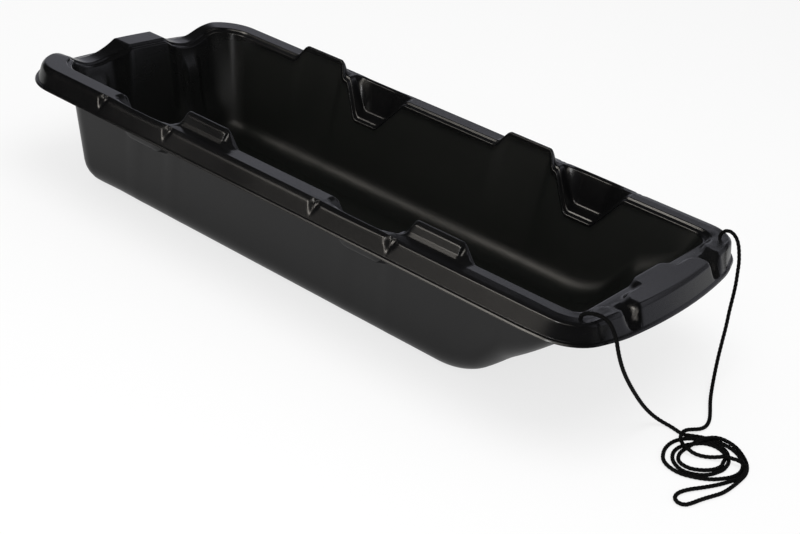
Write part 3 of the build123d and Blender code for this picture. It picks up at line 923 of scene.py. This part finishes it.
def makeLights(plan):
    for row in plan:
        data = bpy.data.lights.new(row["name"], "AREA")
        data.shape = "DISK"
        data.size = row["size"]
        data.energy = row["power"]
        lamp = bpy.data.objects.new(row["name"], data)
        lamp.location = row["place"]
        aim = Vector(row["aim"]) - Vector(row["place"])
        lamp.rotation_euler = aim.to_track_quat("-Z", "Y").to_euler()
        lamp.visible_glossy = row["inReflections"]
        lamp.visible_camera = False
        bpy.context.collection.objects.link(lamp)


# the studio seen in the plastic: a warm soft band in front on the left, a cool wall behind, dark overhead;
# each band's rows are height and level, and the edges lie along the sled, from the stern to the bow
studio = {
    "front": [(0.0, 0.75), (0.15, 0.75), (0.23, 0.60), (0.32, 0.9), (0.38, 8.0), (0.50, 8.0),
              (0.56, 0.05), (1.0, 0.02)],
    "frontTint": (1.06, 1.0, 0.92), "frontDark": (0.01, 0.01, 0.01),
    "frontEdges": (-0.60, -0.38, -0.10, 0.20), "frontFade": (-0.30, -0.08, 1, 0.3),
    "frontShift": 0.55, "shiftHeights": (0.30, 0.37),
    "back": [(0.0, 0.62), (0.12, 0.62), (0.27, 0.12), (0.36, 0.14), (0.41, 0.85), (0.47, 0.85),
             (0.53, 0.05), (1.0, 0.02)],
    "astern": [(0.0, 0.40), (0.47, 0.40), (0.53, 0.05), (1.0, 0.02)],
    "backTint": (0.95, 0.96, 1.08),
    "sternEdges": (-0.68, -0.56), "bowEdges": (-0.46, -0.32), "bowLevel": 0.65,
    "turn": (0.10, 0.50), "fill": 0.7,
}


def heightBand(made, height, band, tint):
    node = made.add("ShaderNodeValToRGB")
    stops = node.color_ramp.elements
    while len(stops) < len(band):
        stops.new(1.0)
    for stop, (place, level) in zip(stops, band):
        stop.position = place
        stop.color = (*(level * share for share in tint), 1)
    made.link(height, node.inputs["Fac"])
    return node.outputs["Color"]


def makeWorld(plan):
    world = bpy.data.worlds.new("studio")
    bpy.context.scene.world = world
    made = Nodes(world)
    camera, mirrored = seenRays(made)
    toward = made.add("ShaderNodeSeparateXYZ")
    made.link(made.add("ShaderNodeTexCoord").outputs["Generated"], toward.inputs["Vector"])
    x, y, z = toward.outputs
    left, leftFull, rightFull, right = plan["frontEdges"]
    # its upper part runs on further to the right
    shifted = made.combine(x, made.spread(z, *plan["shiftHeights"], 0, plan["frontShift"]), "SUBTRACT")
    window = made.combine(made.spread(x, left, leftFull, 0, 1),
                          made.spread(shifted, rightFull, right, 1, 0), "MINIMUM")
    window = made.combine(window, made.spread(x, *plan["frontFade"]), "MULTIPLY")
    front = made.pick(window, plan["frontDark"], heightBand(made, z, plan["front"], plan["frontTint"]))
    back = made.pick(made.spread(x, *plan["bowEdges"], 1, plan["bowLevel"]), (0, 0, 0),
                     heightBand(made, z, plan["back"], plan["backTint"]))
    astern = heightBand(made, z, plan["astern"], plan["backTint"])
    back = made.pick(made.spread(x, *plan["sternEdges"], 0, 1), astern, back)
    room = made.pick(made.spread(y, *plan["turn"], 0, 1), front, back)
    seen = made.pick(mirrored, (plan["fill"],) * 3, room)
    made.link(made.pick(camera, seen, (1, 1, 1)), made.tree.nodes["Background"].inputs["Color"])


makeFloor(floorLook)
makeLights(lightPlan)
makeWorld(studio)
bpy.context.scene.view_settings.view_transform = "Standard"
print("studio set")
